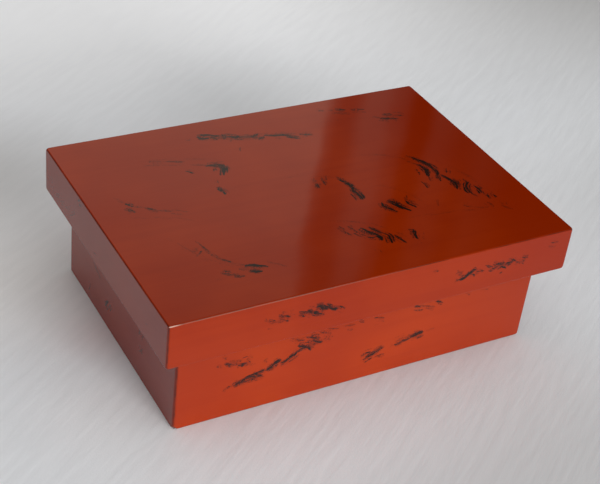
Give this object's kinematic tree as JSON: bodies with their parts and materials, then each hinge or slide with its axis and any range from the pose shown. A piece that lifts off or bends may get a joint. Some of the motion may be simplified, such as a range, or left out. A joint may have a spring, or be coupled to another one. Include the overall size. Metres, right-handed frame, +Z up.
{
  "type": "lacquer box",
  "caption": "Low rectangular lacquered wooden box with a flat loose lid whose skirt overhangs the base all round; red outside with black brush marks, black inside.",
  "frame": {"origin": "on the surface that the box stands on, under the centre of its base", "axes": "+X along the long side, +Y from the front to the back, +Z up through the lid"},
  "size_m": [0.184, 0.13, 0.0602],
  "materials": {
    "red_lacquer": "brushed red lacquer, satin gloss, with short black brush marks and worn edges",
    "black_lacquer": "black lacquer, satin gloss",
    "core_wood": "planed softwood boards",
    "feather_wood": "sawn hardwood slips",
    "peg_wood": "whittled pale wood"
  },
  "bodies": {
    "base": {"base_front_board": "core_wood", "base_back_board": "core_wood", "base_left_board": "core_wood", "base_right_board": "core_wood", "base_bottom_board": "core_wood", "base_feathers_front_left": "feather_wood", "base_feathers_front_right": "feather_wood", "base_feathers_back_left": "feather_wood", "base_feathers_back_right": "feather_wood", "base_bottom_pegs": "peg_wood", "base_outer_lacquer": "red_lacquer", "base_inner_lacquer": "black_lacquer", "base_underside_lacquer": "black_lacquer"},
    "lid": {"lid_front_rail": "core_wood", "lid_back_rail": "core_wood", "lid_left_rail": "core_wood", "lid_right_rail": "core_wood", "lid_top_board": "core_wood", "lid_feathers_front_left": "feather_wood", "lid_feathers_front_right": "feather_wood", "lid_feathers_back_left": "feather_wood", "lid_feathers_back_right": "feather_wood", "lid_top_pegs": "peg_wood", "lid_outer_lacquer": "red_lacquer", "lid_inner_lacquer": "black_lacquer"}
  },
  "joints": [
    {"name": "lid_lift", "type": "slide", "parent": "base", "child": "lid", "axis": [0, 0, 1], "range_m": [0, 0.08]}
  ]
}
